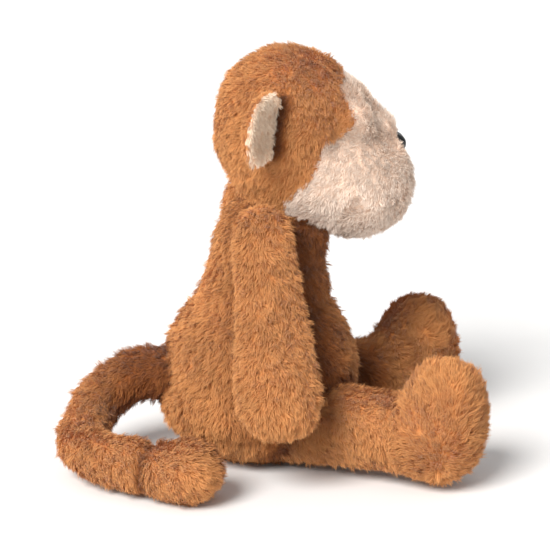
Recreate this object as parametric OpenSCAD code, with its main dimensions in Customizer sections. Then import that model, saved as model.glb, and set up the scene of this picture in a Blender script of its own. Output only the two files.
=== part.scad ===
// Seated plush monkey. Fur-fabric panels are sewn into skins and each skin is packed with stuffing.
// It faces -Y, its right side is -X and +Z is up. The origin is on the seat's flat base, under the
// middle of the body. Head, arms, legs, tail and ears each turn at the seam that joins them.

/* [Fabric] */
// Thickness of a panel: the woven backing and the packed root of its pile
skin = 3; // [2:0.5:3.5]
// Gap left between neighbouring panels of one skin, where their seam lies
seam = 0.2; // [0.1:0.1:0.4]
// Gap left between bodies that turn against each other
play = 0.4; // [0.3:0.1:0.6]

/* [Torso] */
// Largest radius of the belly
belly_r = 70; // [66:1:72]
// Radius of the chest just below the shoulders
chest_r = 41; // [38:1:42]
// Lean of the torso towards its front, in degrees
torso_lean = 4; // [2:0.5:4.5]
// Height at which the flat seat panel meets the belly and back panels
seat_seam_z = 16; // [12:1:20]
// Front edge of the side seams, measured along Y
side_seam_y = -22; // [-30:1:-14]

/* [Head] */
// Radius of the skull
head_r = 50; // [47:1:51]
// Radius of the muzzle ball
muzzle_r = 41; // [38:1:42]
// Extra half width of the muzzle, on top of its radius
muzzle_side = 6; // [2:1:8]
// Radius of the brow roll above the eyes
brow_r = 22; // [19:1:23]
// Extra half width of the brow roll, on top of its radius
brow_side = 14; // [11:1:17]
// Radius of each eye's dome
eye_r = 5.5; // [4.5:0.5:6.5]
// Radius of the nose, seen from its end
nose_r = 6.5; // [5:0.5:8]

/* [Ears] */
// Radius of the round ear flap
ear_r = 25.5; // [22:0.5:27]
// Distance from the ear's root line to the centre of its round edge
ear_reach = 11.5; // [8:0.5:14]
// Thickness of the sewn ear flap
ear_t = 7; // [5:0.5:8]

/* [Arms] */
// Greatest half width of the hand, seen from the side
hand_r = 29; // [26:1:30]
// Length from the shoulder to the end of the hand
arm_len = 141; // [134:1:144]
// Thickness of the arm as a share of its width
arm_flat = 0.68; // [0.6:0.02:0.7]
// Lean of the arm away from the torso, in degrees
arm_lean = 23.5; // [23:0.5:27]

/* [Legs] */
// Radius of the thigh at the hip
thigh_r = 30; // [27:1:31]
// Radius of the leg at the ankle
ankle_r = 26; // [23:1:28]
// Distance from the hip to the upright axis of the foot
leg_len = 110; // [102:1:112]
// Outward turn of the right leg from straight ahead, in degrees
splay_right = 27; // [24:1:30]
// Outward turn of the left leg from straight ahead, in degrees
splay_left = 19; // [12:1:22]
// Largest radius of the foot
foot_r = 32; // [28:1:33]
// Height of the foot from heel to toe
foot_h = 84; // [81:1:90]

/* [Tail] */
// Radius of the tail
tail_r = 17; // [15:0.5:18]

/* [Hidden] */

BROWN = [0.74, 0.48, 0.29];
CREAM = [0.92, 0.83, 0.74];
FILL = [0.97, 0.97, 0.96];
BLACK = [0.05, 0.05, 0.05];
CLEAR = [0.85, 0.85, 0.82];
THREAD = [0.55, 0.33, 0.18];

BIG = 600;
$fn = 96;

// Centres, all in the row frame
torso_y = -2;
neck_pos = [0, -16, 190];
neck_r = 17;
thread_drop = 9;
thread_r = 1.2;
skull_pos = [0, -26, 245];
muzzle_pos = [0, -73, 201];
brow_pos = [0, -58, 255];
eye_pos = [15, -76, 247];
nose_rise = 39;
nose_side = 5;
nose_sunk = 3.2;
shank_r = 2;
shank_len = 15;
washer_r = 8;
washer_t = 2;
washer_y = 10;
ear_pos = [-48.4, -7, 246.6];
ear_turn = 151;
ear_tilt = 8;
ear_bead_r = ear_t / 2 + 0.7;
ear_bead_len = 44;
lining_root = 5;
lining_t = 3;
lining_inset = 3;
shoulder_pos = [-50, -3, 173];
arm_forward = 5;
shoulder_r = 19;
allowance_t = 1.2;
allowance_y = 4;
hip_pos = [38, -28, 34];
hip_down = 60;
hip_up = 12;
foot_tilt = 5;
foot_lift = 5.5;
sole_reach = 27;
bag_pos = [0, 16, 0];
bag_r = 24;
bag_h = 20;
bag_cloth = 0.8;

// Torso outline, radius against height, from under the base to the top of the chest
torso_outline = [
    [belly_r * 0.40, -8], [belly_r * 0.58, 2], [belly_r * 0.76, 10], [belly_r * 0.91, 20], [belly_r * 1.01, 33],
    [belly_r, 52], [belly_r * 0.97, 72], [belly_r * 0.88, 92], [(belly_r + chest_r) * 0.465, 110],
    [chest_r * 1.1, 126], [chest_r, 140], [chest_r * 0.97, 152], [chest_r * 0.85, 165],
    [chest_r * 0.62, 174], [chest_r * 0.28, 182],
];

// Arm outline, half width against distance down the arm
arm_outline = [
    [0.5, -shoulder_r], [shoulder_r * 0.72, -shoulder_r * 0.7], [shoulder_r, 0], [hand_r * 0.77, 32],
    [hand_r * 0.86, 64], [hand_r * 0.97, 92], [hand_r, 110], [hand_r * 0.9, 126],
    [hand_r * 0.6, arm_len - 3.5], [0.5, arm_len],
];

// Tail route on and above the surface that the monkey sits on
tail_root = [0, 64, 59.5];
tail_bend = [-35, 121, 29];
tip_swell = 5;
tail_base_route = [tail_root, [-1, 85, 58], [-7, 103, 47.5], [-18, 114.5, 37.5], tail_bend];
tail_tip_route = [
    tail_bend, [-52, 121, tail_r + 6], [-68, 112, tail_r + 4.5], [-83, 93, tail_r + 4],
    [-96, 72, tail_r + 3], [-106, 51, tail_r + tip_swell + 0.5],
];
tail_gap = 10.3;
tail_sides = 18;

// ---- Curves ----

// Point on a Catmull-Rom curve from b to c
function curve_point(a, b, c, d, t) =
    0.5 * ((2 * b) + (c - a) * t + (2 * a - 5 * b + 4 * c - d) * t * t + (3 * b - a - 3 * c + d) * t * t * t);

// Smooth run of points through a list, with a number of steps on each span
function smooth(p, steps) = [
    for (i = [0 : len(p) - 2]) for (s = [0 : steps - 1])
        curve_point(p[max(i - 1, 0)], p[i], p[i + 1], p[min(i + 2, len(p) - 1)], s / steps),
    p[len(p) - 1],
];

function unit(v) = v / norm(v);

// Direction of a run of points at one of them
function heading(p, i) = unit(p[min(i + 1, len(p) - 1)] - p[max(i - 1, 0)]);

// Ring of points round a centre, square to a direction
function ring(centre, along, r) =
    let (side = unit(cross(along, [0, 0, 1])), top = cross(side, along))
    [for (k = [0 : tail_sides - 1]) centre + r * (cos(360 * k / tail_sides) * side + sin(360 * k / tail_sides) * top)];

// Rings of a round end, from its pole to its widest ring; forward is 1 at the start of a tube and -1 at its tip
function round_end(centre, along, r, forward) =
    [for (a = [4, 26, 48, 70]) ring(centre - forward * along * r * cos(a), along, r * sin(a))];

function reversed(list) = [for (i = [len(list) - 1 : -1 : 0]) list[i]];

// Rings of a tube along a route, which swells by an amount towards the end of the route
function tube_rings(p, r, first, last, swell = 0) =
    [for (i = [first : last]) ring(p[i], heading(p, i), r + swell * pow(i / (len(p) - 1), 3))];

// Closed solid through a list of rings, capped at both ends
module loft(rings) {
    n = len(rings);
    m = len(rings[0]);
    walls = [
        for (i = [0 : n - 2]) for (k = [0 : m - 1])
            let (a = i * m + k, b = i * m + (k + 1) % m)
            each [[a, b, b + m], [a, b + m, a + m]],
    ];
    caps = [[for (k = [m - 1 : -1 : 0]) k], [for (k = [0 : m - 1]) (n - 1) * m + k]];
    polyhedron([for (one = rings) each one], concat(walls, caps), convexity = 6);
}

// ---- Torso ----

// Solid of the torso, shrunk by a margin
module torso_form(margin = 0) {
    run = smooth(torso_outline, 3);
    intersection() {
        translate([0, torso_y, 0]) rotate([torso_lean, 0, 0]) rotate_extrude()
            polygon(concat(
                [[0, run[0][1]]],
                [for (p = run) [p[0] - margin, p[1]]],
                [[0, run[len(run) - 1][1]]]
            ));
        translate([-BIG / 2, -BIG / 2, margin]) cube(BIG);
    }
}

// Placed at the hip, with -Y along the leg and X along the hinge; side is 1 for left, -1 for right
module at_hip(side) {
    translate([side * hip_pos[0], hip_pos[1], hip_pos[2]])
        rotate([0, 0, side > 0 ? splay_left : -splay_right]) children();
}

// Room for the thigh over the hip's whole travel
module hip_room(side) {
    r = thigh_r + play + 0.2;
    back = hip_down + 1;
    low = -hip_pos[2] - 6;
    reach = 90;
    fall = (-low - r * cos(back)) / sin(back);
    at_hip(side) {
        sphere(r = thigh_r + play);
        rotate([90, 0, 90]) linear_extrude(2 * r, center = true) polygon([
            [0, r / cos(hip_up)], [-reach, r / cos(hip_up) + reach * tan(hip_up + 1)], [-reach, low],
            [r * sin(back) - fall * cos(back), low], [r * sin(back), -r * cos(back)],
        ]);
    }
}

// Everything that is cut out of the torso: hips, tail root and neck
module torso_rooms() {
    hip_room(1);
    hip_room(-1);
    translate([0, tail_root[1], tail_root[2] - 25]) cylinder(r = tail_r + 6.5, h = 25 + tail_r + 1);
    translate(neck_pos) sphere(r = neck_r + play);
    translate(neck_pos - [0, 0, thread_drop + thread_r + play]) cylinder(r = neck_r + play, h = 2 * neck_r);
}

// Fabric shell of the whole torso
module torso_shell() {
    difference() {
        torso_form();
        torso_form(skin);
        torso_rooms();
    }
}

// Part of the torso shell on one side of the centre seam, behind the side seams
module back_panel(side) {
    color(BROWN) intersection() {
        torso_shell();
        translate([side > 0 ? seam / 2 : -BIG - seam / 2, side_seam_y + seam, seat_seam_z + seam]) cube(BIG);
    }
}

module back_left() { back_panel(1); }
module back_right() { back_panel(-1); }

module belly_panel() {
    color(BROWN) intersection() {
        torso_shell();
        translate([-BIG / 2, side_seam_y - BIG, seat_seam_z + seam]) cube(BIG);
    }
}

module seat_panel() {
    color(BROWN) intersection() {
        torso_shell();
        translate([-BIG / 2, -BIG / 2, seat_seam_z - BIG]) cube(BIG);
    }
}

// Round cushion shape of the pellet bag, shrunk by a margin
module bag_form(margin = 0) {
    edge = bag_h / 2 - margin;
    translate([bag_pos[0], bag_pos[1], skin + seam + bag_h / 2]) rotate_extrude() {
        translate([0, -edge]) square([bag_r - bag_h / 2, 2 * edge]);
        translate([bag_r - bag_h / 2, 0]) intersection() {
            circle(r = edge);
            translate([0, -edge]) square([edge, 2 * edge]);
        }
    }
}

module pellet_bag() {
    color(FILL) difference() {
        bag_form();
        bag_form(bag_cloth);
    }
}

module pellets() { color(CLEAR) bag_form(bag_cloth + seam); }

module torso_stuffing() {
    color(FILL) difference() {
        torso_form(skin + seam);
        torso_rooms();
        bag_form(-seam);
    }
}

// ---- Neck ----

module neck_core() { color(FILL) translate(neck_pos) sphere(r = neck_r); }

// Drawn-up thread of the neck seam, round the core below its middle
module neck_thread() {
    ring_r = sqrt(pow(neck_r, 2) - pow(thread_drop, 2)) + thread_r + seam;
    color(THREAD) translate(neck_pos - [0, 0, thread_drop])
        rotate_extrude() translate([ring_r, 0]) circle(r = thread_r, $fn = 24);
}

// ---- Head ----

module skull_form(margin = 0) { translate(skull_pos) sphere(r = head_r - margin); }

// Ball drawn out sideways, turned about X
module wide_ball(r, half) {
    rotate([0, 90, 0]) rotate_extrude() intersection() {
        union() {
            translate([0, half]) circle(r = r);
            translate([0, -half]) circle(r = r);
            translate([0, -half]) square([r, 2 * half]);
        }
        translate([0, -half - r]) square([r, 2 * (half + r)]);
    }
}

module muzzle_form(margin = 0) { translate(muzzle_pos) wide_ball(muzzle_r - margin, muzzle_side); }

module brow_form(margin = 0) { translate(brow_pos) wide_ball(brow_r - margin, brow_side); }

// Placed at an eye, with -Y facing out of the face
module at_eye(side) { translate([side * eye_pos[0], eye_pos[1], eye_pos[2]]) children(); }

// Placed at the nose, with -Y facing out of the muzzle
module at_nose() {
    translate(muzzle_pos) rotate([-nose_rise, 0, 0]) translate([0, nose_sunk - muzzle_r, 0]) children();
}

// Shank that holds an eye or the nose from behind
module shank(grow = 0) { rotate([-90, 0, 0]) cylinder(r = shank_r + grow, h = shank_len + grow); }

module washer(grow = 0) {
    translate([0, washer_y - grow, 0]) rotate([-90, 0, 0]) difference() {
        cylinder(r = washer_r + grow, h = washer_t + 2 * grow);
        if (grow == 0) translate([0, 0, -1]) cylinder(r = shank_r + 0.1, h = washer_t + 2);
    }
}

// Dome with a flat back, facing -Y
module eye_form(grow = 0) {
    rotate([90, 0, 0]) rotate_extrude() intersection() {
        circle(r = eye_r + grow);
        translate([0, -grow]) square([eye_r + grow, eye_r + 2 * grow]);
    }
}

// Rooms for the face's fittings in the panels and stuffing
module face_rooms() {
    for (side = [-1, 1]) at_eye(side) {
        eye_form(seam);
        shank(seam);
        washer(seam);
    }
    at_nose() {
        wide_ball(nose_r + seam, nose_side);
        shank(seam);
        washer(seam);
    }
}

module neck_room() { translate(neck_pos) sphere(r = neck_r + play); }

// Placed at the right ear's root line, with Z along it and X out along the flap
module at_ear() {
    translate(ear_pos) rotate([ear_tilt, 0, 0]) rotate([0, 0, ear_turn]) children();
}

// Groove in the skull for each ear's root bead
module ear_rooms() {
    for (side = [0, 1]) mirror([side, 0, 0]) at_ear()
        cylinder(r = ear_bead_r + play + 0.1, h = ear_bead_len + 4, center = true);
}

module head_left() {
    color(BROWN) intersection() {
        difference() {
            skull_form();
            skull_form(skin);
            muzzle_form(-seam);
            brow_form(-seam);
            neck_room();
            ear_rooms();
        }
        translate([seam / 2, -BIG / 2, 0]) cube(BIG);
    }
}

module head_right() { mirror([1, 0, 0]) head_left(); }

module brow_panel() {
    color(CREAM) difference() {
        brow_form();
        brow_form(skin);
        skull_form(-seam);
        muzzle_form(-seam);
        face_rooms();
    }
}

module muzzle_panel() {
    color(CREAM) difference() {
        muzzle_form();
        muzzle_form(skin);
        skull_form(-seam);
        face_rooms();
        neck_room();
    }
}

module head_stuffing() {
    color(FILL) difference() {
        union() {
            skull_form(skin + seam);
            muzzle_form(skin + seam);
            difference() {
                brow_form(skin + seam);
                muzzle_form(-seam);
            }
        }
        neck_room();
        ear_rooms();
        face_rooms();
    }
}

module eye(side) {
    color(BLACK) at_eye(side) {
        eye_form();
        shank();
    }
}

module eye_left() { eye(1); }
module eye_right() { eye(-1); }
module eye_washer_left() { color(CLEAR) at_eye(1) washer(); }
module eye_washer_right() { color(CLEAR) at_eye(-1) washer(); }

module nose() {
    color(BLACK) at_nose() {
        wide_ball(nose_r, nose_side);
        shank();
    }
}

module nose_washer() { color(CLEAR) at_nose() washer(); }

// ---- Ears ----

// Outline of the flap from its root line outwards, pulled in by a margin
module ear_outline(root, margin = 0) {
    intersection() {
        translate([ear_reach, 0]) circle(r = ear_r - margin);
        translate([root, -ear_r]) square([2 * ear_r + ear_reach, 2 * ear_r]);
    }
}

// Slice of the flap between two depths; +Y is the lined front
module ear_slice(root, from, to, margin) {
    translate([0, to, 0]) rotate([90, 0, 0]) linear_extrude(to - from) ear_outline(root, margin);
}

module ear_back() {
    color(BROWN) at_ear() {
        difference() {
            ear_slice(0, -ear_t / 2, ear_t / 2, 0);
            ear_slice(lining_root, ear_t / 2 - lining_t, ear_t / 2 + 1, lining_inset);
        }
        cylinder(r = ear_bead_r, h = ear_bead_len, center = true);
    }
}

module ear_lining() {
    color(CREAM) at_ear() ear_slice(lining_root + seam, ear_t / 2 - lining_t + seam, ear_t / 2, lining_inset + seam);
}

module ear_back_right() { ear_back(); }
module ear_lining_right() { ear_lining(); }
module ear_back_left() { mirror([1, 0, 0]) ear_back(); }
module ear_lining_left() { mirror([1, 0, 0]) ear_lining(); }

// ---- Arms ----

// Placed at the right shoulder, with -Z down the arm and X through its thickness
module at_shoulder() {
    translate(shoulder_pos) rotate([0, arm_lean, 0]) rotate([-arm_forward, 0, 0]) children();
}

module arm_form(margin = 0) {
    middle = (arm_len - shoulder_r) / 2;
    shrink = 1 - 2 * margin / (arm_len + shoulder_r);
    run = [for (p = smooth(arm_outline, 3)) [max(p[0] - margin, 0.4), -middle - (p[1] - middle) * shrink]];
    scale([(arm_flat * hand_r - margin) / (hand_r - margin), 1, 1]) rotate_extrude()
        polygon(concat([[0, run[0][1]]], run, [[0, run[len(run) - 1][1]]]));
}

module arm_half(outer) {
    color(BROWN) at_shoulder() intersection() {
        difference() {
            arm_form();
            arm_form(skin);
        }
        translate([outer ? -BIG - seam / 2 : seam / 2, -BIG / 2, -BIG / 2]) cube(BIG);
    }
}

// The lump has a slot where the seam allowance of its two panels is turned inwards
module arm_stuffing() {
    color(FILL) at_shoulder() difference() {
        arm_form(skin + seam);
        translate([-allowance_t / 2, allowance_y, -BIG / 2]) cube([allowance_t, BIG, BIG]);
    }
}

module arm_outer_right() { arm_half(true); }
module arm_inner_right() { arm_half(false); }
module arm_stuffing_right() { arm_stuffing(); }
module arm_outer_left() { mirror([1, 0, 0]) arm_half(true); }
module arm_inner_left() { mirror([1, 0, 0]) arm_half(false); }
module arm_stuffing_left() { mirror([1, 0, 0]) arm_stuffing(); }

// ---- Legs ----

// Ball at the hip running into a tapering leg, along -Y, shrunk by a margin
module leg_form(margin = 0) {
    r = thigh_r - margin;
    rotate([90, 0, 0]) rotate_extrude() {
        intersection() {
            circle(r = r);
            translate([0, -r]) square([r, r]);
        }
        polygon([[0, 0], [r, 0], [ankle_r - margin, leg_len - 12], [0, leg_len - 12]]);
    }
}

// Egg-shaped foot standing on its heel, shrunk by a margin; -Y is the sole's side
module foot_form(margin = 0) {
    half = foot_h / 2;
    translate([0, -leg_len, half + foot_lift - hip_pos[2]]) rotate([foot_tilt, 0, 0]) rotate_extrude() polygon(
        [for (a = [0 : 7.5 : 180])
            [(foot_r - margin) * pow(sin(a), 0.8) * (1 + 0.05 * cos(a)), -(half - margin) * cos(a)]]
    );
}

// Everything behind the sole's plane, which is a distance in front of the foot's axis
module behind_sole(reach) { translate([-BIG / 2, -leg_len - reach, -BIG / 2]) cube(BIG); }

module leg_half(side, outer) {
    color(BROWN) at_hip(side) intersection() {
        difference() {
            leg_form();
            leg_form(skin);
            foot_form(-seam);
        }
        translate([(outer ? side : -side) > 0 ? seam / 2 : -BIG - seam / 2, -BIG / 2, -BIG / 2]) cube(BIG);
    }
}

module foot_upper(side) {
    color(BROWN) at_hip(side) intersection() {
        difference() {
            foot_form();
            foot_form(skin);
            leg_form(skin - seam);
        }
        behind_sole(sole_reach - skin - seam);
    }
}

module sole(side) {
    color(BROWN) at_hip(side) difference() {
        intersection() {
            foot_form();
            behind_sole(sole_reach);
        }
        behind_sole(sole_reach - skin);
    }
}

module leg_stuffing(side) {
    color(FILL) at_hip(side) {
        leg_form(skin + seam);
        intersection() {
            foot_form(skin + seam);
            behind_sole(sole_reach - skin - 2 * seam);
        }
    }
}

module leg_outer_left() { leg_half(1, true); }
module leg_inner_left() { leg_half(1, false); }
module foot_upper_left() { foot_upper(1); }
module sole_left() { sole(1); }
module leg_stuffing_left() { leg_stuffing(1); }
module leg_outer_right() { leg_half(-1, true); }
module leg_inner_right() { leg_half(-1, false); }
module foot_upper_right() { foot_upper(-1); }
module sole_right() { sole(-1); }
module leg_stuffing_right() { leg_stuffing(-1); }

// ---- Tail ----

base_run = smooth(tail_base_route, 3);
tip_run = smooth(tail_tip_route, 3);

// Rings from the round root to the open end, a distance short of the bend
function base_rings(r, gap) =
    let (
        last = heading(base_run, len(base_run) - 1),
        p = concat([for (q = base_run) if (norm(q - tail_bend) > gap + 2) q], [tail_bend - gap * last]),
        n = len(p)
    )
    concat(
        round_end(p[0], heading(p, 0), r, 1),
        tube_rings(p, r, 0, n - 2),
        [ring(p[n - 1], last, r)]
    );

// Rings from the bend to the round tip; the bend's end is round too
function tip_rings(r) =
    let (p = tip_run, n = len(p))
    concat(
        round_end(p[0], heading(p, 0), r, 1),
        tube_rings(p, r, 0, n - 1, tip_swell),
        reversed(round_end(p[n - 1], heading(p, n - 1), r + tip_swell, -1))
    );

module tail_base_skin() {
    color(BROWN) loft(concat(base_rings(tail_r, tail_gap), reversed(base_rings(tail_r - skin, tail_gap))));
}

module tail_base_stuffing() { color(FILL) loft(base_rings(tail_r - skin - play, tail_r + play)); }

module tail_tip_skin() {
    color(BROWN) difference() {
        loft(tip_rings(tail_r));
        loft(tip_rings(tail_r - skin));
    }
}

module tail_tip_stuffing() { color(FILL) loft(tip_rings(tail_r - skin - seam)); }

// ---- Nodes ----

back_left();
back_right();
belly_panel();
seat_panel();
torso_stuffing();
pellet_bag();
pellets();
neck_core();
neck_thread();
head_left();
head_right();
brow_panel();
muzzle_panel();
head_stuffing();
eye_left();
eye_right();
eye_washer_left();
eye_washer_right();
nose();
nose_washer();
ear_back_left();
ear_lining_left();
ear_back_right();
ear_lining_right();
arm_outer_left();
arm_inner_left();
arm_stuffing_left();
arm_outer_right();
arm_inner_right();
arm_stuffing_right();
leg_outer_left();
leg_inner_left();
foot_upper_left();
sole_left();
leg_stuffing_left();
leg_outer_right();
leg_inner_right();
foot_upper_right();
sole_right();
leg_stuffing_right();
tail_base_skin();
tail_base_stuffing();
tail_tip_skin();
tail_tip_stuffing();
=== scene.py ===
"""Looks of the seated plush monkey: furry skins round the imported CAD, face, camera, floor and light.

Each furry skin starts as a smooth field, which is negative inside the stuffed shape and zero on its
cloth. The cloth is a quad mesh on that field, and the pile is tufts of flat hairs that stand on it.
"""

import math

import bpy
import numpy as np
from mathutils import Matrix, Vector


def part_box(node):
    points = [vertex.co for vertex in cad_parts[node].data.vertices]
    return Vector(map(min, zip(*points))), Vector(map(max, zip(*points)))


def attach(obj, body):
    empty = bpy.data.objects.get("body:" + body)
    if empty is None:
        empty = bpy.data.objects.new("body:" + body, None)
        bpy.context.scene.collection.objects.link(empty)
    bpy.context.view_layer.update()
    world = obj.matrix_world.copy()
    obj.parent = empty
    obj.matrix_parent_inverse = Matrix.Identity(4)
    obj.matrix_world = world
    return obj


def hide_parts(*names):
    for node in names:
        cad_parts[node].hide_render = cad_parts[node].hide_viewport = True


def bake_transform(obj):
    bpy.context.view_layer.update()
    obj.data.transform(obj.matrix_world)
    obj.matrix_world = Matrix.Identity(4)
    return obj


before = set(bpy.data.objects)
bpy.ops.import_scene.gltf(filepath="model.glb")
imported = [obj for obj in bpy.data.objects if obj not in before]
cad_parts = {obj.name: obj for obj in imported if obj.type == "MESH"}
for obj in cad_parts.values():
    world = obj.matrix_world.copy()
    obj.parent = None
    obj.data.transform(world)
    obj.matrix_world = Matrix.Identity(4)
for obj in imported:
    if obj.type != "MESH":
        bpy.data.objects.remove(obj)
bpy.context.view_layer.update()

# How far the cloth lies inside the CAD panel's outer face, and the filling inside the cloth
CLOTH_DEPTH = 0.0025
FILL_DEPTH = 0.0025
FILL_STEP = 0.004

# ---- Curves and frames ----


def smooth_line(points, steps=6):
    """Smooth run of points through a short list of them."""
    p = np.array(points, float)
    ends = np.vstack([2 * p[0] - p[1], p, 2 * p[-1] - p[-2]])
    t = np.arange(steps)[:, None] / steps
    spans = []
    for a, b, c, d in zip(ends, ends[1:], ends[2:], ends[3:]):
        bend = (2 * a - 5 * b + 4 * c - d) * t**2 + (3 * b - a - 3 * c + d) * t**3
        spans.append(0.5 * (2 * b + (c - a) * t + bend))
    return np.vstack([*spans, p[-1:]])


def turn(degrees, axis):
    """3 x 3 rotation about one of the axes X, Y or Z."""
    return np.array(Matrix.Rotation(math.radians(degrees), 3, axis))


def local(p, origin, rotation):
    """Points seen from a frame with that origin and rotation."""
    return (p - np.array(origin)) @ rotation


def unit(v):
    """Vectors at length one."""
    return v / np.maximum(np.linalg.norm(v, axis=-1, keepdims=True), 1e-9)


# ---- Fields of simple shapes ----


def ball(p, centre, radius):
    """Field of a ball."""
    return np.linalg.norm(p - np.array(centre), axis=-1) - radius


def cone(p, start, end, start_r, end_r):
    """Field of a round-ended cone between two points."""
    a, b = np.array(start), np.array(end)
    t = np.clip((p - a) @ (b - a) / ((b - a) @ (b - a)), 0, 1)
    return np.linalg.norm(p - a - t[..., None] * (b - a), axis=-1) - (start_r + (end_r - start_r) * t)


def bar(p, centre, half, radius):
    """Field of a round-ended bar that reaches half its length each way from its middle."""
    return cone(p, centre - np.array(half), centre + np.array(half), radius, radius)


def merge(a, b, soft):
    """Field of two shapes together, with a fillet where they meet."""
    h = np.clip(0.5 + 0.5 * (b - a) / soft, 0, 1)
    return b + (a - b) * h - soft * h * (1 - h)


def trim(a, b, soft):
    """Field of what lies in both shapes, with a rounded edge."""
    return -merge(-a, -b, soft)


def groove(distance, width, depth):
    """What a sewn line adds to a field at a distance from it."""
    return depth * np.exp(-((distance / width) ** 2))


def lumps(p, size, height, seed):
    """Soft unevenness of a stuffed shape, as waves of about one size in fixed random directions."""
    rng = np.random.default_rng(seed)
    total = np.zeros(p.shape[:-1])
    for _ in range(7):
        wave = unit(rng.normal(size=3)) * 2 * math.pi / (size * rng.uniform(0.7, 1.4))
        total += np.sin(p @ wave + rng.uniform(0, 2 * math.pi))
    return height * total / 3


# ---- Torso ----

TORSO_AT = (0, -0.002, 0)
TORSO_TURN = turn(4, "X")
# Radius of the body at each height
TORSO_OUTLINE = smooth_line([
    (0.024, -0.004), (0.037, 0.002), (0.051, 0.0105), (0.0625, 0.0195), (0.0705, 0.031), (0.0722, 0.041),
    (0.070, 0.052), (0.068, 0.072), (0.0616, 0.092), (0.0516, 0.110), (0.0455, 0.126), (0.041, 0.140),
    (0.0398, 0.152), (0.0365, 0.165), (0.031, 0.176), (0.024, 0.186), (0.008, 0.194),
])
CHEST_AT = np.array((0, -0.0375, 0.164))
CHEST_R = 0.0135
CHEST_HALF = (0.012, 0, 0)
CHEST_FOLD_Z = 0.113
SEAT_SEAM_Z = 0.016
SIDE_SEAM_Y = -0.022
# Where a piece that rests on the floor is flat
REST_Z = 0.0012


def torso_field(p):
    q = local(p, TORSO_AT, TORSO_TURN)
    radius = np.interp(q[..., 2], TORSO_OUTLINE[:, 1], TORSO_OUTLINE[:, 0])
    body = 0.9 * (np.hypot(q[..., 0], q[..., 1]) - radius) + CLOTH_DEPTH
    body = np.maximum(body, q[..., 2] - TORSO_OUTLINE[-1, 1])
    body = merge(body, bar(p, CHEST_AT, CHEST_HALF, CHEST_R), 0.008)
    front = np.clip((-0.02 - p[..., 1]) / 0.02, 0, 1)
    body += front * groove(p[..., 2] - CHEST_FOLD_Z, 0.007, 0.003)
    body += (1 - front) * groove(p[..., 0], 0.004, 0.0015)
    body += groove(p[..., 1] - SIDE_SEAM_Y, 0.004, 0.0012)
    body += lumps(p, 0.05, 0.0008, 1)
    return trim(body, REST_Z - p[..., 2], 0.006)


# ---- Head ----

EAR_AT = np.array((-0.0484, -0.007, 0.2466))
EAR_TURN = turn(8, "X") @ turn(151, "Z")
EAR_R = 0.0255
EAR_REACH = 0.0115
EAR_HALF = 0.0035
EAR_ROOT = [EAR_AT + along * EAR_TURN[:, 2] + 0.003 * EAR_TURN[:, 1] for along in (-0.018, 0.018)]

SKULL_AT = (0, -0.0255, 0.2445)
SKULL_R = 0.050
MUZZLE_AT = np.array((0, -0.073, 0.2005))
MUZZLE_R = 0.0418
MUZZLE_HALF = (0.006, 0, 0)
BROW_AT = np.array((0, -0.0545, 0.2545))
BROW_R = 0.022
BROW_HALF = (0.014, 0, 0)
BRIDGE_TOP = (0, -0.068, 0.257)
BRIDGE_END = (0, -0.0882, 0.2365)
CHEEKS_AT = [np.array((side * 0.025, -0.066, 0.245)) for side in (-1, 1)]
CHEEK_R = 0.0145
JAW_AT = np.array((0, -0.046, 0.207))
JAW_R = 0.038
NECK_AT = (0, -0.016, 0.190)
NAPE_AT = (0, -0.019, 0.218)
EYES_AT = [sum(np.array(corner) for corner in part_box("eye_" + name)) / 2 for name in ("left", "right")]
EYES_AT = [at + (0, -0.004, 0) for at in EYES_AT]
NOSE_RISE = math.radians(39)
NOSE_OUT = 0.0378
NOSE_FROM = np.array((0, -0.073, 0.201))
NOSE_AT = NOSE_FROM + NOSE_OUT * np.array((0, -math.cos(NOSE_RISE), math.sin(NOSE_RISE)))
NOSE_HALF = (0.005, 0, 0)
NOSE_BARE_R = 0.0070
EYE_BARE_R = 0.0085
EYE_DENT_R = 0.0105

# Rear edge of the cream face seen from the side, as height and Y
FACE_EDGE = smooth_line([
    (0.150, -0.062), (0.162, -0.058), (0.170, -0.050), (0.179, -0.033), (0.187, -0.020), (0.194, -0.023),
    (0.205, -0.033), (0.218, -0.042), (0.230, -0.046), (0.236, -0.051), (0.240, -0.063), (0.250, -0.069),
    (0.262, -0.062), (0.272, -0.060), (0.276, -0.076),
])


def head_field(p):
    skull = ball(p, SKULL_AT, SKULL_R - CLOTH_DEPTH)
    muzzle = bar(p, MUZZLE_AT, MUZZLE_HALF, MUZZLE_R - CLOTH_DEPTH)
    brow = bar(p, BROW_AT, BROW_HALF, BROW_R - CLOTH_DEPTH)
    bridge = cone(p, BRIDGE_TOP, BRIDGE_END, 0.011, 0.0095)
    for at in CHEEKS_AT:
        bridge = merge(bridge, ball(p, at, CHEEK_R), 0.012)
    neck = cone(p, NECK_AT, NAPE_AT, 0.024, 0.038)
    jaw = bar(p, JAW_AT, MUZZLE_HALF, JAW_R)
    face = merge(merge(merge(brow, bridge, 0.008), muzzle, 0.016), jaw, 0.006)
    whole = merge(merge(skull, face, 0.006), neck, 0.014)
    for at in EYES_AT:
        whole = trim(whole, -ball(p, at + (0, -0.010, 0), EYE_DENT_R), 0.004)
    for side in (-1, 1):
        far = cone(p, EAR_ROOT[0] * (side, 1, 1), EAR_ROOT[1] * (side, 1, 1), 0, 0)
        whole += groove(far, 0.006, 0.003)
    return whole + lumps(p, 0.045, 0.0007, 2)


def face_side(p):
    """Above zero on the cream face, below zero on the brown head."""
    return np.interp(p[..., 2], FACE_EDGE[:, 0], FACE_EDGE[:, 1]) - p[..., 1]


# ---- Ears ----


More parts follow.
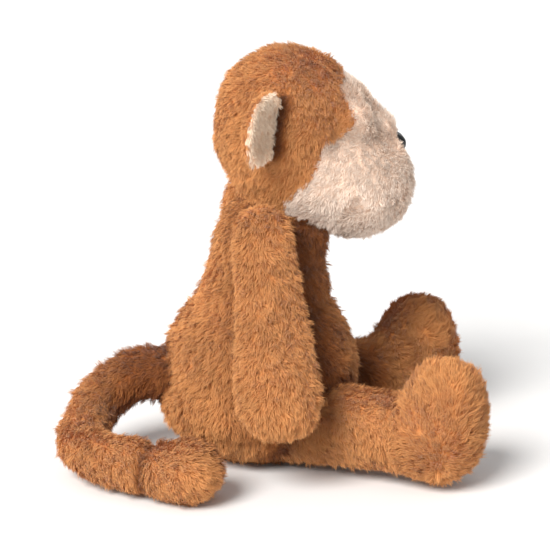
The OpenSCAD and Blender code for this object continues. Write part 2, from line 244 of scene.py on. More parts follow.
def ear_place(p):
    """Points seen from the right ear: X out along the flap, Y out of its lined front, Z up its root."""
    q = local(p, EAR_AT, EAR_TURN)
    cup = 0.004 * (np.hypot(q[..., 0] - EAR_REACH, q[..., 2]) / EAR_R) ** 2
    return np.stack([q[..., 0], q[..., 1] - cup + 0.002, q[..., 2]], axis=-1)


def ear_field(p):
    q = ear_place(p)
    round_edge = 0.0032
    rim = np.hypot(q[..., 0] - EAR_REACH, q[..., 2]) - EAR_R + 0.0015 + round_edge
    side = np.abs(q[..., 1]) - EAR_HALF + 0.001 + round_edge
    beyond = np.hypot(np.maximum(rim, 0), np.maximum(side, 0))
    flap = beyond + np.minimum(np.maximum(rim, side), 0) - round_edge
    root = 0.0045 * np.clip(1 - q[..., 0] / 0.008, 0, 1)
    return np.maximum(flap - 0.3 * root, -0.004 - q[..., 0])


# ---- Arms ----

SHOULDER_AT = np.array((-0.050, -0.003, 0.173))
ARM_TURN = turn(23.5, "Y") @ turn(-5, "X")
ARM_DOWN = -ARM_TURN[:, 2]
ARM_FLAT = 0.68
ARM_OUTLINE = smooth_line([
    (0.0005, -0.019), (0.0150, -0.014), (0.0220, 0.0), (0.0235, 0.032), (0.0258, 0.064),
    (0.0292, 0.092), (0.0303, 0.110), (0.0274, 0.126), (0.0182, 0.1375), (0.0005, 0.141),
])


def arm_field(p):
    q = local(p, SHOULDER_AT, ARM_TURN)
    down = -q[..., 2]
    half = np.interp(down, ARM_OUTLINE[:, 1], ARM_OUTLINE[:, 0])
    past = np.maximum(np.maximum(ARM_OUTLINE[0, 1] - down, down - ARM_OUTLINE[-1, 1]), 0)
    back = np.interp(down, (0, 0.06, 0.10), (-0.0012, 0.0012, 0.0016))
    shape = 0.85 * (np.hypot(q[..., 0] / ARM_FLAT, q[..., 1] - back) - half) + past + CLOTH_DEPTH
    return shape + groove(q[..., 0], 0.003, 0.0008) + lumps(p, 0.04, 0.0006, 3)


# ---- Legs ----

THIGH_R = 0.030
ANKLE_R = 0.026
LEG_LEN = 0.110
FOOT_R = 0.032
FOOT_HALF = 0.0405
FOOT_UP = 0.0152
SOLE_REACH = 0.027
ANKLE_BACK = 0.031
# Degrees that each leg turns outwards, left and right
SPLAY = {1: 19, -1: -27}


def hip_at(side):
    return np.array((side * 0.038, -0.028, 0.034))


def leg_turn(side):
    return turn(SPLAY[side], "Z")


def leg_along(side):
    return -leg_turn(side)[:, 1]


def leg_place(p, side):
    """Points seen from the hip: -Y along the leg, X across it."""
    return local(p, hip_at(side), leg_turn(side))


def foot_place(q):
    """Points seen from the middle of the foot, from points seen from the hip."""
    return local(q, (0, -LEG_LEN, FOOT_UP), turn(5, "X"))


def leg_field(p, side):
    q = leg_place(p, side)
    leg = cone(q, (0, 0, 0), (0, -LEG_LEN + 0.012, 0), THIGH_R - CLOTH_DEPTH, ANKLE_R - CLOTH_DEPTH)
    f = foot_place(q)
    height = -f[..., 2] / (FOOT_HALF - CLOTH_DEPTH)
    across = np.hypot(f[..., 0], f[..., 1]) / ((FOOT_R - CLOTH_DEPTH) * (1 + 0.05 * np.clip(height, -1, 1)))
    foot = ((across**2.5 + np.abs(height) ** 2) ** 0.45 - 1) * FOOT_R
    crown = 0.0025 * (np.hypot(f[..., 0], f[..., 2]) / FOOT_R) ** 2
    sole = -q[..., 1] - LEG_LEN - SOLE_REACH + CLOTH_DEPTH + crown
    foot = trim(foot, sole, 0.006)
    whole = merge(leg, foot, 0.018)
    whole += groove(q[..., 1] + LEG_LEN - ANKLE_BACK, 0.003, 0.0012)
    return trim(whole + lumps(p, 0.04, 0.0006, 4 + side), REST_Z - p[..., 2], 0.004)


# ---- Tail ----

TAIL_R = 0.017
TIP_SWELL = 0.006
ROOT_SWELL = 0.002
TAIL_ROOT = np.array((0, 0.064, 0.0595))
TAIL_BEND = np.array((-0.035, 0.121, 0.029))
BASE_ROUTE = smooth_line([
    TAIL_ROOT, (-0.001, 0.085, 0.058), (-0.007, 0.103, 0.0475), (-0.018, 0.1145, 0.0375), TAIL_BEND,
])
TIP_ROUTE = smooth_line([
    TAIL_BEND, (-0.052, 0.121, 0.023), (-0.068, 0.112, 0.0215), (-0.083, 0.093, 0.021),
    (-0.096, 0.072, 0.020), (-0.106, 0.051, 0.0225),
])
TAIL_ROUTE = np.vstack([BASE_ROUTE, TIP_ROUTE[1:]])
BEND_BEFORE = 0.014
TIP_CREASE = 0.029


def route_place(p):
    """Distance to the tail's route, distance run along it, and its heading, at each point."""
    best = np.full(p.shape[:-1], 1e3)
    run = np.zeros(p.shape[:-1])
    heading = np.zeros(p.shape)
    done = 0.0
    for a, b in zip(TAIL_ROUTE, TAIL_ROUTE[1:]):
        length = np.linalg.norm(b - a)
        t = np.clip((p - a) @ (b - a) / length**2, 0, 1)
        far = np.linalg.norm(p - a - t[..., None] * (b - a), axis=-1)
        nearer = far < best
        best = np.where(nearer, far, best)
        run = np.where(nearer, done + t * length, run)
        heading = np.where(nearer[..., None], (b - a) / length, heading)
        done += length
    return best, run, heading


BASE_LEN = np.linalg.norm(np.diff(BASE_ROUTE, axis=0), axis=1).sum()
TAIL_LEN = np.linalg.norm(np.diff(TAIL_ROUTE, axis=0), axis=1).sum()


def tail_field(p):
    far, run, _ = route_place(p)
    past = np.clip((run - BASE_LEN) / (TAIL_LEN - BASE_LEN), 0, 1)
    before = np.clip(1 - run / BASE_LEN, 0, 1)
    shape = far - (TAIL_R + TIP_SWELL * past**3 + ROOT_SWELL * before - CLOTH_DEPTH)
    shape += groove(run - TAIL_LEN + TIP_CREASE, 0.006, 0.004)
    return trim(shape + lumps(p, 0.035, 0.0006, 8), REST_Z - p[..., 2], 0.004)


# ---- Meshes from fields ----

CORNERS = [(i, j, k) for i in (0, 1) for j in (0, 1) for k in (0, 1)]
EDGES = [
    (a, b) for a in CORNERS for b in CORNERS
    if sum(b) - sum(a) == 1 and all(x <= y for x, y in zip(a, b))
]


def cell_points(value, low, step):
    """Numbers of the grid cells that a field's zero passes through, and a point in each."""
    size = np.array(value.shape) - 1
    total = np.zeros((*size, 3))
    hits = np.zeros(size)
    for a, b in EDGES:
        at_a = value[a[0]:a[0] + size[0], a[1]:a[1] + size[1], a[2]:a[2] + size[2]]
        at_b = value[b[0]:b[0] + size[0], b[1]:b[1] + size[1], b[2]:b[2] + size[2]]
        crossed = (at_a < 0) != (at_b < 0)
        share = at_a / np.where(crossed, at_a - at_b, 1)
        point = np.array(a) + share[..., None] * (np.array(b) - np.array(a))
        total += np.where(crossed[..., None], point, 0)
        hits += crossed
    live = hits > 0
    number = np.full(size, -1)
    number[live] = np.arange(live.sum())
    return number, np.array(low) + step * (np.argwhere(live) + total[live] / hits[live][:, None])


def surface(field, low, high, step):
    """Quad mesh where a field is zero: its points, and the four point numbers of each face."""
    axes = [np.arange(a, b + step, step) for a, b in zip(low, high)]
    value = field(np.stack(np.meshgrid(*axes, indexing="ij"), axis=-1))
    number, points = cell_points(value, low, step)
    inside = value < 0
    size = np.array(number.shape)
    faces = []
    for axis in range(3):
        u, v = np.eye(3, dtype=int)[(axis + 1) % 3], np.eye(3, dtype=int)[(axis + 2) % 3]
        at = np.argwhere(np.diff(inside.astype(np.int8), axis=axis) != 0)
        held = np.all((at - u - v >= 0) & (at < size), axis=1)
        at = at[held]
        quad = np.stack([number[tuple((at - w).T)] for w in (u + v, v, 0 * u, u)], axis=1)
        outward = inside[tuple(at.T)]
        faces.append(np.where(outward[:, None], quad, quad[:, ::-1]))
    return points, np.vstack(faces)


def outward(field, p):
    """Slope of a field at points, and its direction at length one."""
    h = 0.0005
    slope = np.stack([(field(p + h * e) - field(p - h * e)) / (2 * h) for e in np.eye(3)], axis=-1)
    return slope, unit(slope)


def settle(field, p):
    """Points moved onto the place where a field is zero."""
    slope, _ = outward(field, p)
    size = np.maximum((slope**2).sum(-1, keepdims=True), 0.2)
    return p - np.clip(field(p)[..., None] / size, -0.004, 0.004) * slope


# ---- Pile ----


def tuft_places(rng, points, faces, cell):
    """Evenly strewn places on a quad mesh, about one to each cell of that size."""
    a, b, c = points[faces[:, 0]], points[faces[:, 1]], points[faces[:, 2]]
    area = np.linalg.norm(np.cross(b - a, c - a), axis=1)
    count = int(8 * area.sum() / cell**2)
    pick = rng.choice(len(faces), count, p=area / area.sum())
    across = rng.uniform(size=(count, 2))
    corners = points[faces[pick]]
    left = corners[:, 0] + across[:, :1] * (corners[:, 1] - corners[:, 0])
    right = corners[:, 3] + across[:, :1] * (corners[:, 2] - corners[:, 3])
    place = left + across[:, 1:] * (right - left)
    _, first = np.unique(np.floor(place / cell).astype(int), axis=0, return_index=True)
    return place[np.sort(first)]


def drift(p):
    """Slow change of the way that the pile lies, over places about 25 mm apart."""
    return np.stack([lumps(p, 0.025, 1.0, seed) for seed in (21, 22, 23)], axis=-1)


def pressed(p):
    """Share of its length that the pile keeps near the floor, where the weight of the toy lies on it."""
    return np.clip(0.4 + p[:, 2] / 0.03, 0.4, 1)


def hairs(rng, field, place, comb, length, look):
    """Flat curved hairs that stand in tufts round places: points, quads, triangles and their values."""
    each = look["hairs"]
    _, up = outward(field, place)
    flow = unit(comb(place)) + 0.4 * drift(place)
    flow = unit(flow - (flow * up).sum(-1, keepdims=True) * up)
    flow = unit(flow + rng.normal(scale=look["swirl"], size=up.shape))
    side = unit(np.cross(flow, up))
    size = length(place) * pressed(place) * rng.uniform(0.85, 1.1, len(place))
    lean = np.radians(look["lean"] + rng.normal(scale=5, size=len(place)))
    tip = place + size[:, None] * (np.cos(lean)[:, None] * up + np.sin(lean)[:, None] * flow)
    place, up, flow, side, tip = (np.repeat(a, each, axis=0) for a in (place, up, flow, side, tip))
    size = np.repeat(size, each)[:, None]
    angle = rng.uniform(0, 2 * math.pi, len(place))[:, None]
    apart = look["spread"] * np.sqrt(rng.uniform(size=(len(place), 1)))
    off = apart * (np.cos(angle) * side + np.sin(angle) * flow)
    root = settle(field, place + off) - 0.0006 * up
    tip = tip + look["open"] * off + rng.normal(scale=look["stray"], size=tip.shape)
    middle = root + 0.55 * (tip - root) + 0.20 * size * up
    tilt = rng.normal(scale=0.7, size=(len(place), 1))
    edge = unit(np.cos(tilt) * unit(np.cross(tip - root, up)) + np.sin(tilt) * up)
    wide = look["width"] * rng.uniform(0.7, 1.3, (len(place), 1))
    points = np.stack([
        root - wide * edge, root + wide * edge, middle - 0.8 * wide * edge, middle + 0.8 * wide * edge, tip,
    ], axis=1)
    first = 5 * np.arange(len(place))[:, None]
    tuft = np.repeat(rng.uniform(size=len(place) // each), each)
    values = {
        "along": np.tile([0.0, 0.0, 0.55, 0.55, 1.0], len(place)),
        "tuft": np.repeat(tuft, 5),
    }
    return points.reshape(-1, 3), first + [0, 1, 3, 2], first + [2, 3, 4], values


def mesh_object(name, points, quads, triangles, values):
    """Mesh object from arrays, with a value at each point under each name."""
    mesh = bpy.data.meshes.new(name)
    loops = np.concatenate([quads.ravel(), triangles.ravel()])
    starts = np.concatenate([4 * np.arange(len(quads)), 4 * len(quads) + 3 * np.arange(len(triangles))])
    mesh.vertices.add(len(points))
    mesh.vertices.foreach_set("co", points.astype(np.float32).ravel())
    mesh.loops.add(len(loops))
    mesh.loops.foreach_set("vertex_index", loops.astype(np.int32))
    mesh.polygons.add(len(starts))
    mesh.polygons.foreach_set("loop_start", starts.astype(np.int32))
    mesh.update(calc_edges=True)
    mesh.shade_smooth()
    for key, value in values.items():
        mesh.attributes.new(key, "FLOAT", "POINT").data.foreach_set("value", value.astype(np.float32))
    piece = bpy.data.objects.new(name, mesh)
    bpy.context.scene.collection.objects.link(piece)
    return piece


def compact(points, faces):
    """Mesh with only the points that its faces use."""
    used, faces = np.unique(faces, return_inverse=True)
    return points[used], faces.reshape(-1, 4)


def painted_shade_factor(near, p):
    """Painted shade on the pile: 1 out of every neighbour's reach, down to that neighbour's least value
    beside it.
    """
    return np.min([np.clip(shape(p) / reach, least, 1) for shape, reach, least in near], axis=0)


def furry(name, field, near, cloth, places, comb, length, look, seed):
    """One panel: its cloth and the tufts that stand on it, as one mesh."""
    rng = np.random.default_rng(seed)
    points, faces = compact(*cloth)
    hair, quads, triangles, values = hairs(rng, field, places, comb, length, look)
    values["along"] = np.concatenate([np.zeros(len(points)), values["along"]])
    values["tuft"] = np.concatenate([np.full(len(points), 0.5), values["tuft"]])
    everything = np.vstack([points, hair])
    # Painted shade: the value 'open' darkens each point's pile by how near the neighbours lie, standing in
    # for the shade they cast.
    values["open"] = painted_shade_factor(near, everything)
    everything[:, 2] = np.maximum(everything[:, 2], 0.0002)
    none = np.zeros((0, 4), int)
    quads = np.vstack([faces, quads + len(points)]) if len(hair) else np.vstack([faces, none])
    return mesh_object(name, everything, quads, triangles + len(points), values)


# Length of the pile on each part
LONG_LENGTH = 0.0060
ARM_LENGTH = 0.0058
CROWN_LENGTH = 0.0050
FACE_LENGTH = 0.0038
EAR_LENGTH = 0.0034

# How the pile stands: tufts one to a cell, hairs in a tuft, and how far they spread, stray and lean
LONG_PILE = {
    "cell": 0.0030, "hairs": 20, "spread": 0.0028, "open": 0.80, "stray": 0.0006, "swirl": 0.30,
    "lean": 60, "width": 0.00020,
}
FACE_PILE = {
    "cell": 0.0025, "hairs": 18, "spread": 0.0024, "open": 0.8, "stray": 0.0005, "swirl": 0.30,
    "lean": 57, "width": 0.00017,
}
SHORT_PILE = {
    "cell": 0.0022, "hairs": 14, "spread": 0.0021, "open": 0.7, "stray": 0.0004, "swirl": 0.3,
    "lean": 52, "width": 0.00018,
}


def skin(field, near, low, high, step, panels, comb, length, look, seed, bare=None):
    """Furry panels of one stuffed shape. Each panel has a name, and a test for which points are its own."""
    points, faces = surface(field, low, high, step)
    points = settle(field, points)
    places = tuft_places(np.random.default_rng(seed), points, faces, look["cell"])
    if bare is not None:
        places = places[~bare(places)]
    middles = points[faces].mean(axis=1)
    made = []
    for number, (panel, own) in enumerate(panels):
        cloth = (points, faces[own(middles)])
        mine = places[own(places)]
        piece = furry(panel + "_fur", field, near, cloth, mine, comb, length, look, seed + 1 + number)
        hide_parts(panel)
        made.append(piece)
    return made


def filling(node, field, low, high):
    """Stuffing of one shape, just inside its cloth."""
    inner = lambda p: field(p) + FILL_DEPTH
    points, faces = surface(inner, low, high, FILL_STEP)
    values = {"along": np.zeros(len(points))}
    piece = mesh_object(node + "_soft", settle(inner, points), faces, np.zeros((0, 3), int), values)
    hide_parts(node)
    return piece


# ---- Materials ----


class Nodes:
    """Short way to build one node material."""

    def __init__(self, name):
        self.material = bpy.data.materials.new(name)
        self.material.use_nodes = True
        self.tree = self.material.node_tree
        self.shader = self.tree.nodes["Principled BSDF"]

    def add(self, kind, **settings):
        node = self.tree.nodes.new(kind)
        for key, value in settings.items():
            setattr(node, key, value)
        return node

    def join(self, source, target):
        self.tree.links.new(source, target)

    def place(self):
        return self.add("ShaderNodeTexCoord").outputs["Object"]

    def noise(self, scale, detail=3.0, rough=0.5):
        node = self.add("ShaderNodeTexNoise")
        node.inputs["Scale"].default_value = scale
        node.inputs["Detail"].default_value = detail
        node.inputs["Roughness"].default_value = rough
        self.join(self.place(), node.inputs["Vector"])
        return node.outputs["Fac"]

    def value(self, attribute):
        return self.add("ShaderNodeAttribute", attribute_name=attribute).outputs["Fac"]

    def ramp(self, source, stops):
        node = self.add("ShaderNodeValToRGB")
        for element, (at, colour) in zip(node.color_ramp.elements, stops):
            element.position = at
            element.color = (*colour, 1)
        for at, colour in stops[2:]:
            node.color_ramp.elements.new(at).color = (*colour, 1)
        self.join(source, node.inputs["Fac"])
        return node.outputs["Color"]

    def range(self, source, low, high, start=0.0, end=1.0):
        node = self.add("ShaderNodeMapRange")
        node.inputs["From Min"].default_value = start
        node.inputs["From Max"].default_value = end
        node.inputs["To Min"].default_value = low
        node.inputs["To Max"].default_value = high
        self.join(source, node.inputs["Value"])
        return node.outputs["Result"]

    def shade(self, colour, amount):
        """Colour made lighter or darker by an amount."""
        node = self.add("ShaderNodeVectorMath", operation="SCALE")
        self.join(colour, node.inputs[0])
        self.join(amount, node.inputs["Scale"])
        return node.outputs["Vector"]

    def times(self, colour, other):
        """Product of two colours."""
        node = self.add("ShaderNodeVectorMath", operation="MULTIPLY")
        self.join(colour, node.inputs[0])
        self.join(other, node.inputs[1])
        return node.outputs["Vector"]

    def bump(self, height, distance, strength=0.6):
        node = self.add("ShaderNodeBump")
        node.inputs["Distance"].default_value = distance
        node.inputs["Strength"].default_value = strength
        self.join(height, node.inputs["Height"])
        self.join(node.outputs["Normal"], self.shader.inputs["Normal"])

    def set(self, **values):
        for key, value in values.items():
            self.shader.inputs[key.replace("_", " ")].default_value = value
        return self


def fur_material(name, root, middle, tip):
    """Pile that is dark at its root and pale at its tip, with uneven patches, and painted shade where
    neighbouring parts lie near.
    """
    n = Nodes(name)
    colour = n.ramp(n.value("along"), [(0.0, root), (1.0, tip), (0.45, middle)])
    colour = n.shade(colour, n.range(n.value("tuft"), 0.92, 1.08))
    colour = n.shade(colour, n.range(n.noise(28, 4), 0.89, 1.11, 0.3, 0.7))
    # Painted shade: darker, more saturated colour where the value 'open' says neighbours lie near.
    painted_shade_tint = [(0.0, (0.22, 0.14, 0.09)), (1.0, (1, 1, 1)), (0.5, (0.55, 0.41, 0.30))]
    colour = n.times(colour, n.ramp(n.value("open"), painted_shade_tint))
    n.join(colour, n.shader.inputs["Base Color"])
    n.join(n.range(n.noise(180), 0.7, 0.95), n.shader.inputs["Roughness"])
    n.bump(n.noise(2600), 0.0002, 0.3)
    n.set(Specular_IOR_Level=0.2, Sheen_Weight=0.25, Sheen_Roughness=0.5)
    return n.material


def plain_material(name, dark, light, rough, scale, depth, **values):
    """Finish of one colour that varies a little at one scale, with roughness and bump to match."""
    n = Nodes(name)
    n.join(n.ramp(n.noise(scale, 4), [(0.35, dark), (0.65, light)]), n.shader.inputs["Base Color"])
    n.join(n.range(n.noise(scale * 1.7), rough - 0.05, rough + 0.05), n.shader.inputs["Roughness"])
    n.bump(n.noise(scale * 2.3), depth)
    n.set(**values)
    return n.material


BROWN = fur_material("brown_fur", (0.58, 0.236, 0.074), (0.61, 0.260, 0.086), (0.69, 0.340, 0.132))
CREAM = fur_material("cream_fur", (0.84, 0.65, 0.52), (0.93, 0.77, 0.65), (0.96, 0.84, 0.74))
LINING = fur_material("lining_fur", (0.86, 0.62, 0.45), (0.95, 0.76, 0.58), (0.98, 0.84, 0.69))
STUFFING = plain_material("stuffing", (0.80, 0.80, 0.78), (0.92, 0.92, 0.91), 0.9, 220, 0.001)
BAG = plain_material("bag_cloth", (0.74, 0.73, 0.70), (0.84, 0.83, 0.80), 0.85, 900, 0.0003)
PELLET = plain_material("pellets", (0.72, 0.73, 0.72), (0.86, 0.87, 0.86), 0.35, 500, 0.001)
THREAD = plain_material("thread", (0.22, 0.10, 0.04), (0.34, 0.17, 0.08), 0.7, 1500, 0.0002)
EYE = plain_material("eye_plastic", (0.005, 0.004, 0.004), (0.010, 0.008, 0.008), 0.14, 60, 0.00002)
NOSE = plain_material(
    "nose_plastic", (0.006, 0.006, 0.007), (0.014, 0.014, 0.016), 0.3, 400, 0.00005, Specular_IOR_Level=0.3,
)
WASHER = plain_material("washer_plastic", (0.66, 0.66, 0.62), (0.74, 0.74, 0.70), 0.4, 120, 0.00005)


def finish(piece, material):
    """Gives a piece its material."""
    piece.data.materials.clear()
    piece.data.materials.append(material)


# ---- Pieces on their bodies ----


def flat_down(p):
    """Pile that hangs straight down."""
    return np.broadcast_to(np.array((0.0, 0.0, -1.0)), p.shape)


def one_length(size):
    return lambda p: np.full(len(p), size)


def mirrored(field):
    """Field or test of the left side from the one of the right side."""
    return lambda p: field(p * (-1, 1, 1))


def dress(pieces, material, place):
    """Material and place of each piece."""
    for piece in pieces:
        finish(piece, material)
        place(piece)


def riding(body):
    return lambda piece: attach(piece, body)


def bending():
    return lambda piece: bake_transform(piece)


def ear_shadow_shape(p):
    """Ear moved forward, over the crease in front of its lining, where painted shade darkens the head's pile.
    """
    return ear_field(p + (0, 0.005, 0))


def arm_shadow_shape(p):
    """Arm moved forward, over the side of the belly where the arm's shadow is painted into the pile."""
    return arm_field(p + (0, 0.014, 0))


def both(field, *limits):
    """The same neighbour on the right side and on the left side."""
    return [(field, *limits), (mirrored(field), *limits)]


def arms_shadow_on_belly(p):
    """Arm moved forward, over the front of the torso only: the reach of the painted shadow on the belly."""
    return np.maximum(arm_shadow_shape(p), p[:, 1] + 0.045)


# Neighbours of the torso that paint shade on its pile: each one's field, how far its painted shade reaches,
# and the least value it leaves
TORSO_SHADE_CASTERS = [
    (head_field, 0.006, 0),
    (tail_field, 0.012, 0.3),
    *both(arm_field, 0.021, 0.15),
    *both(arms_shadow_on_belly, 0.075, 0),
    (lambda p: leg_field(p, 1), 0.018, 0),
    (lambda p: leg_field(p, -1), 0.018, 0),
]


def build_torso():
    low, high = (-0.080, -0.086, -0.006), (0.080, 0.080, 0.204)
    upper = lambda p: p[:, 2] > SEAT_SEAM_Z
    behind = lambda p: upper(p) & (p[:, 1] > SIDE_SEAM_Y)
    panels = [
        ("back_left", lambda p: behind(p) & (p[:, 0] >= 0)),
        ("back_right", lambda p: behind(p) & (p[:, 0] < 0)),
        ("belly_panel", lambda p: upper(p) & (p[:, 1] <= SIDE_SEAM_Y)),
        ("seat_panel", lambda p: ~upper(p)),
    ]
    length = one_length(LONG_LENGTH)
    furs = skin(torso_field, TORSO_SHADE_CASTERS, low, high, 0.003, panels, flat_down, length, LONG_PILE, 100)
    dress(furs, BROWN, riding("torso"))
    dress([filling("torso_stuffing", torso_field, low, high)], STUFFING, riding("torso"))


def head_comb(p):
    """Pile of the head runs back and down, and away from the nose on the face."""
    away = unit(p - NOSE_AT)
    face = np.clip(face_side(p) / 0.006 + 0.5, 0, 1)[:, None]
    return (1 - face) * np.array((0, 0.5, -0.8)) + face * (away + np.array((0, 0.2, -0.35)))


def head_length(p):
    """Long pile on the skull, and shorter pile round the eyes and the nose."""
    near = np.min([np.linalg.norm(p - at, axis=-1) for at in [*EYES_AT, NOSE_AT]], axis=0)
    return np.where(face_side(p) > 0, FACE_LENGTH, CROWN_LENGTH) * np.clip(near / 0.016, 0.6, 1)


def under_face_parts(p):
    """True where no pile stands: under the eyes and the nose."""
    eyes = np.min([np.linalg.norm(p - at, axis=-1) for at in EYES_AT], axis=0)
    return (eyes < EYE_BARE_R) | (bar(p, NOSE_AT, NOSE_HALF, NOSE_BARE_R) < 0)


def build_head():
    low, high = (-0.056, -0.122, 0.152), (0.056, 0.030, 0.302)
    cream = lambda p: face_side(p) > 0
    lower = lambda p: p[:, 2] < 0.2375
    panels = [
        ("head_left", lambda p: ~cream(p) & (p[:, 0] >= 0)),
        ("head_right", lambda p: ~cream(p) & (p[:, 0] < 0)),
        ("brow_panel", lambda p: cream(p) & ~lower(p)),
        ("muzzle_panel", lambda p: cream(p) & lower(p)),
    ]
    # Painted shade on the head's pile: next to the torso, and in the crease in front of each ear.
    near = [(torso_field, 0.005, 0), *both(ear_shadow_shape, 0.006, 0)]
    furs = skin(
        head_field, near, low, high, 0.0028, panels, head_comb, head_length, FACE_PILE, 200, under_face_parts,
    )
    dress(furs[:2], BROWN, riding("head"))
    dress(furs[2:], CREAM, riding("head"))
    dress([filling("head_stuffing", head_field, low, high)], STUFFING, riding("head"))


def build_ear(name, side):
    field = ear_field if side < 0 else mirrored(ear_field)
    place = ear_place if side < 0 else mirrored(ear_place)
    centre = EAR_AT * (-side, 1, 1)
    low, high = centre - 0.042, centre + 0.042
    lining_r = EAR_R - 0.001

    def front(p):
        """True on the lined face of the ear, inside its rim."""
        q = place(p)
        return (q[:, 1] > 0.0002) & (np.hypot(q[:, 0] - EAR_REACH, q[:, 2]) < lining_r)

    panels = [("ear_back_" + name, lambda p: ~front(p)), ("ear_lining_" + name, front)]
    # Painted shade on the ear's pile next to the head.
    near = [(head_field, 0.004, 0.3)]
    length = one_length(EAR_LENGTH)
    furs = skin(field, near, low, high, 0.0018, panels, flat_down, length, SHORT_PILE, 300 + side)
    dress(furs[:1], BROWN, riding("ear_" + name))
    dress(furs[1:], LINING, riding("ear_" + name))


def build_arm(name, side):
    field = arm_field if side < 0 else mirrored(arm_field)
    shoulder = SHOULDER_AT * (-side, 1, 1)
    down = ARM_DOWN * (-side, 1, 1)
    ends = np.array([shoulder - 0.022 * down, shoulder + 0.144 * down])
    low, high = ends.min(axis=0) - 0.034, ends.max(axis=0) + 0.034
    across = ARM_TURN[:, 0] * (-side, 1, 1)
    outer = lambda p: (p - shoulder) @ across < 0
    panels = [("arm_outer_" + name, outer), ("arm_inner_" + name, lambda p: ~outer(p))]
    length = lambda p: ARM_LENGTH * np.clip(0.55 + np.abs((p - shoulder) @ across) / 0.016, 0.55, 1)
    # Painted shade on the arm's pile next to the torso and the head.
    near = [(torso_field, 0.006, 0), (head_field, 0.008, 0.3)]
    furs = skin(field, near, low, high, 0.0026, panels, flat_down, length, LONG_PILE, 400 + side)
    bend = bending()
    dress(furs, BROWN, bend)
    dress([filling("arm_stuffing_" + name, field, low, high)], STUFFING, bend)


def build_leg(name, side):
    field = lambda p: leg_field(p, side)
    hip, along = hip_at(side), leg_along(side)
    ends = np.array([hip, hip + (LEG_LEN + 0.01) * along])
    low, high = ends.min(axis=0) - 0.042, ends.max(axis=0) + 0.042
    low[2], high[2] = -0.006, 0.102
    ankle = LEG_LEN - ANKLE_BACK
    foot = lambda p: -leg_place(p, side)[:, 1] > ankle
    sole = lambda p: -leg_place(p, side)[:, 1] > LEG_LEN + SOLE_REACH - 0.008
    outer = lambda p: leg_place(p, side)[:, 0] * side > 0
    panels = [
        ("leg_outer_" + name, lambda p: ~foot(p) & outer(p)),
        ("leg_inner_" + name, lambda p: ~foot(p) & ~outer(p)),
        ("foot_upper_" + name, lambda p: foot(p) & ~sole(p)),
        ("sole_" + name, sole),
    ]

    def torso_shadow_on_thigh(p):
        """Torso moved forward, over the inside of the thigh only, where painted shade darkens the pile."""
        return np.maximum(torso_field(p + (0, 0.018, 0)), leg_place(p, side)[:, 0] * side + 0.03)

    # Painted shade on the leg's pile: next to the torso, on the inner thigh, and where the arms would shade
    # it.
    near = [(torso_field, 0.008, 0.1), (torso_shadow_on_thigh, 0.030, 0.1), *both(arm_shadow_shape, 0.007, 0.2)]

    def comb(p):
        """Pile of the leg runs to the foot, and pile of the foot runs out from the side of its heel."""
        heel = hip + LEG_LEN * along + (side * 0.030, 0.010, -0.018)
        away = unit(p - heel)
        on_foot = np.clip((-leg_place(p, side)[:, 1] - ankle) / 0.01, 0, 1)[:, None]
        return (1 - on_foot) * (0.5 * along + np.array((0, 0, -0.8))) + on_foot * away

    length = one_length(LONG_LENGTH)
    furs = skin(field, near, low, high, 0.0028, panels, comb, length, LONG_PILE, 500 + side)
    bend = bending()
    dress(furs, BROWN, bend)
    dress([filling("leg_stuffing_" + name, field, low, high)], STUFFING, bend)


def tail_comb(p):
    """Pile of the tail runs to its tip and down."""
    _, _, heading = route_place(p)
    return heading + np.array((0, 0, -0.6))


def build_tail():
    low, high = TAIL_ROUTE.min(axis=0) - 0.026, TAIL_ROUTE.max(axis=0) + 0.026
    low[2] = -0.006
    on_tip = lambda p: route_place(p)[1] > BASE_LEN - BEND_BEFORE
    panels = [("tail_base_skin", lambda p: ~on_tip(p)), ("tail_tip_skin", on_tip)]
    # Painted shade on the tail's pile: wide near the torso, and along the crease before its tip.
    crease_shade_shape = lambda p: 0.002 + np.abs(route_place(p)[1] - TAIL_LEN + TIP_CREASE)
    near = [(torso_field, 0.055, 0.45), (crease_shade_shape, 0.006, 0.3)]
    length = one_length(LONG_LENGTH)
    base, tip = skin(tail_field, near, low, high, 0.0026, panels, tail_comb, length, LONG_PILE, 600)
    heading = unit(BASE_ROUTE[-1] - BASE_ROUTE[-3])
    root_bend = bending()
    tip_bend = bending()
    dress([base], BROWN, root_bend)
    dress([tip], BROWN, tip_bend)
    before = lambda p: np.maximum(tail_field(p), route_place(p)[1] - BASE_LEN + BEND_BEFORE)
    after = lambda p: np.maximum(tail_field(p), BASE_LEN - BEND_BEFORE - route_place(p)[1])
    dress([filling("tail_base_stuffing", before, low, high)], STUFFING, root_bend)
    dress([filling("tail_tip_stuffing", after, low, high)], STUFFING, tip_bend)


def finish_cad_nodes():
    """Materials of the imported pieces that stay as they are."""
    shown = {
        "eye_left": EYE, "eye_right": EYE, "nose": NOSE,
        "eye_washer_left": WASHER, "eye_washer_right": WASHER, "nose_washer": WASHER,
        "neck_core": STUFFING, "neck_thread": THREAD, "pellet_bag": BAG, "pellets": PELLET,
    }
    for name, material in shown.items():
        finish(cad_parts[name], material)


# ---- Floor, light and camera ----

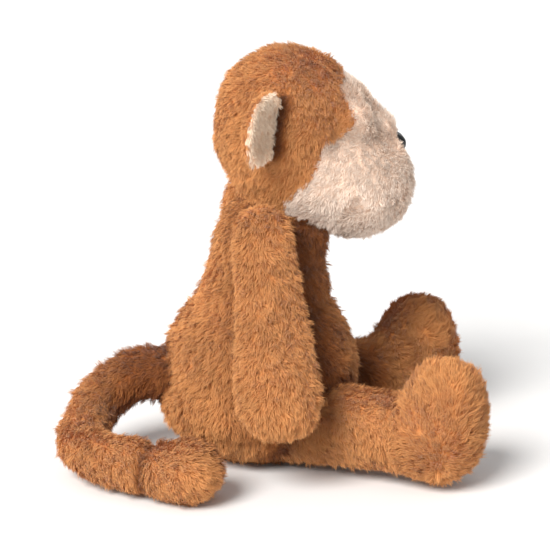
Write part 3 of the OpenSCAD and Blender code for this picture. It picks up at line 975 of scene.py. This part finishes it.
TARGET = Vector((0, -0.012, 0.135))
DISTANCE = 1.5
AZIMUTH = math.radians(-95)
ELEVATION = math.radians(15)
BACK = Vector((
    math.sin(AZIMUTH) * math.cos(ELEVATION),
    -math.cos(AZIMUTH) * math.cos(ELEVATION),
    math.sin(ELEVATION),
))
LEFT = Vector((-math.cos(AZIMUTH), -math.sin(AZIMUTH), 0))


def build_floor():
    mesh = bpy.data.meshes.new("floor")
    half = 6
    corners = [(-half, -half, 0), (half, -half, 0), (half, half, 0), (-half, half, 0)]
    mesh.from_pydata(corners, [], [(0, 1, 2, 3)])
    floor = bpy.data.objects.new("floor", mesh)
    bpy.context.scene.collection.objects.link(floor)
    white = plain_material("floor_white", (0.90, 0.90, 0.90), (0.92, 0.92, 0.92), 0.9, 12, 0.0001)
    mesh.materials.append(white)


def soft_light(name, towards, width, power, colour):
    """Even light from one side, as wide across as that many degrees."""
    data = bpy.data.lights.new(name, "SUN")
    data.angle = math.radians(width)
    data.energy = power
    data.color = colour
    lamp = bpy.data.objects.new(name, data)
    bpy.context.scene.collection.objects.link(lamp)
    lamp.location = TARGET + towards
    lamp.rotation_mode = "QUATERNION"
    lamp.rotation_quaternion = towards.to_track_quat("Z", "Y")


def build_light():
    up = Vector((0, 0, 1))
    soft_light("key_light", 0.8 * BACK + 0.52 * LEFT + 0.6 * up, 30, 4.0, (1, 0.98, 0.95))
    world = bpy.data.worlds.new("studio")
    world.use_nodes = True
    world.node_tree.nodes["Background"].inputs["Color"].default_value = (1, 1, 1, 1)
    world.node_tree.nodes["Background"].inputs["Strength"].default_value = 0.5
    bpy.context.scene.world = world
    bpy.context.scene.view_settings.view_transform = "Standard"


def build_camera():
    data = bpy.data.cameras.new("camera")
    camera = bpy.data.objects.new("camera", data)
    bpy.context.scene.collection.objects.link(camera)
    data.sensor_width = 36
    data.lens = 138
    data.shift_x = 0.0127
    data.shift_y = -0.0127
    data.clip_start = 0.05
    camera.location = TARGET + DISTANCE * BACK
    camera.rotation_mode = "QUATERNION"
    camera.rotation_quaternion = BACK.to_track_quat("Z", "Y")
    bpy.context.scene.camera = camera


build_torso()
build_head()
for name, side in (("right", -1), ("left", 1)):
    build_ear(name, side)
    build_arm(name, side)
    build_leg(name, side)
build_tail()
finish_cad_nodes()
build_floor()
build_light()
build_camera()
